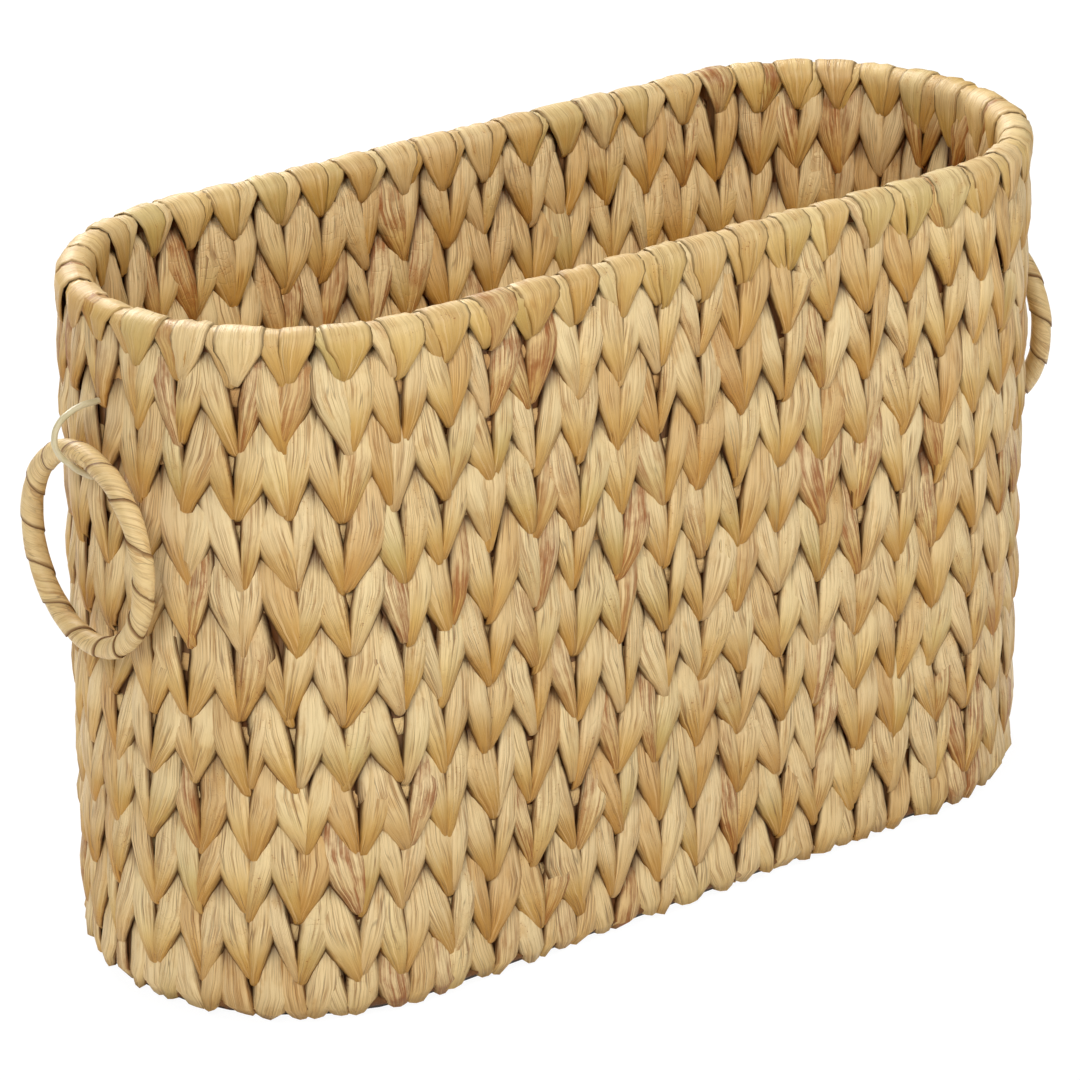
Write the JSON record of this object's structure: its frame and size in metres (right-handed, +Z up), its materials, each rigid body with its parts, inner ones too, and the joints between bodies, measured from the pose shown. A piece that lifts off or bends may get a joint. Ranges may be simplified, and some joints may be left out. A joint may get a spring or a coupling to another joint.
{
  "type": "woven magazine basket",
  "caption": "Oval upright storage basket in arrow weave over a wire frame, open at the top, with leaf-wrapped ring handles swinging in cane loops at its ends.",
  "frame": {"origin": "on the floor under the middle of the basket", "axes": "+X along the basket towards one ring handle, +Y front to back with the pictured long side at -Y, +Z up"},
  "size_m": [0.4774, 0.175, 0.282],
  "materials": {
    "leaf_weave": "dry flattened leaf strands, satin, straw yellow with pinkish, greenish and brown streaks",
    "leaf_rod": "leaf-wrapped rod, matt, reddish brown",
    "leaf_wrap": "smooth leaf strip wound round the ring, satin, pale straw",
    "ring_core": "iron ring, dull dark coating",
    "cane": "pale greenish cane, smooth and slightly glossy",
    "frame_wire": "iron wire, dull dark coating"
  },
  "bodies": {
    "basket": {"base_strand_1": "leaf_weave", "base_strand_2": "leaf_weave", "base_strand_3": "leaf_weave", "base_strand_4": "leaf_weave", "base_strand_5": "leaf_weave", "base_strand_6": "leaf_weave", "base_strand_7": "leaf_weave", "cross_wire_1": "frame_wire", "cross_wire_2": "frame_wire", "cross_wire_3": "frame_wire", "cross_wire_4": "frame_wire", "end_upright_1": "frame_wire", "end_upright_2": "frame_wire", "end_upright_3": "frame_wire", "end_upright_4": "frame_wire", "foot_hoop": "frame_wire", "handle_loop_left": "cane", "handle_loop_right": "cane", "rim_hoop": "frame_wire", "row_rod_1": "leaf_rod", "row_rod_2": "leaf_rod", "row_rod_3": "leaf_rod", "row_rod_4": "leaf_rod", "row_rod_5": "leaf_rod", "row_rod_6": "leaf_rod", "row_rod_7": "leaf_rod", "row_rod_8": "leaf_rod", "row_rod_9": "leaf_rod", "wall_strand_01": "leaf_weave", "wall_strand_02": "leaf_weave", "wall_strand_03": "leaf_weave", "wall_strand_04": "leaf_weave", "wall_strand_05": "leaf_weave", "wall_strand_06": "leaf_weave", "wall_strand_07": "leaf_weave", "wall_strand_08": "leaf_weave", "wall_strand_09": "leaf_weave", "wall_strand_10": "leaf_weave", "wall_strand_11": "leaf_weave", "wall_strand_12": "leaf_weave", "wall_strand_13": "leaf_weave", "wall_strand_14": "leaf_weave", "wall_strand_15": "leaf_weave", "wall_strand_16": "leaf_weave", "wall_strand_17": "leaf_weave", "wall_strand_18": "leaf_weave", "wall_strand_19": "leaf_weave", "wall_strand_20": "leaf_weave", "wall_strand_21": "leaf_weave", "wall_strand_22": "leaf_weave", "wall_strand_23": "leaf_weave", "wall_strand_24": "leaf_weave", "wall_strand_25": "leaf_weave", "wall_strand_26": "leaf_weave"},
    "left_ring": {"ring_core_left": "ring_core", "ring_wrap_left": "leaf_wrap"},
    "right_ring": {"ring_core_right": "ring_core", "ring_wrap_right": "leaf_wrap"}
  },
  "joints": [
    {"name": "left_ring_swing", "type": "hinge", "parent": "basket", "child": "left_ring", "pos_m": [-0.22557, 0, 0.22432], "axis": [0, 1, 0], "range_deg": [-2, 180]},
    {"name": "right_ring_swing", "type": "hinge", "parent": "basket", "child": "right_ring", "pos_m": [0.22557, 0, 0.21662], "axis": [0, -1, 0], "range_deg": [-2, 180]}
  ]
}
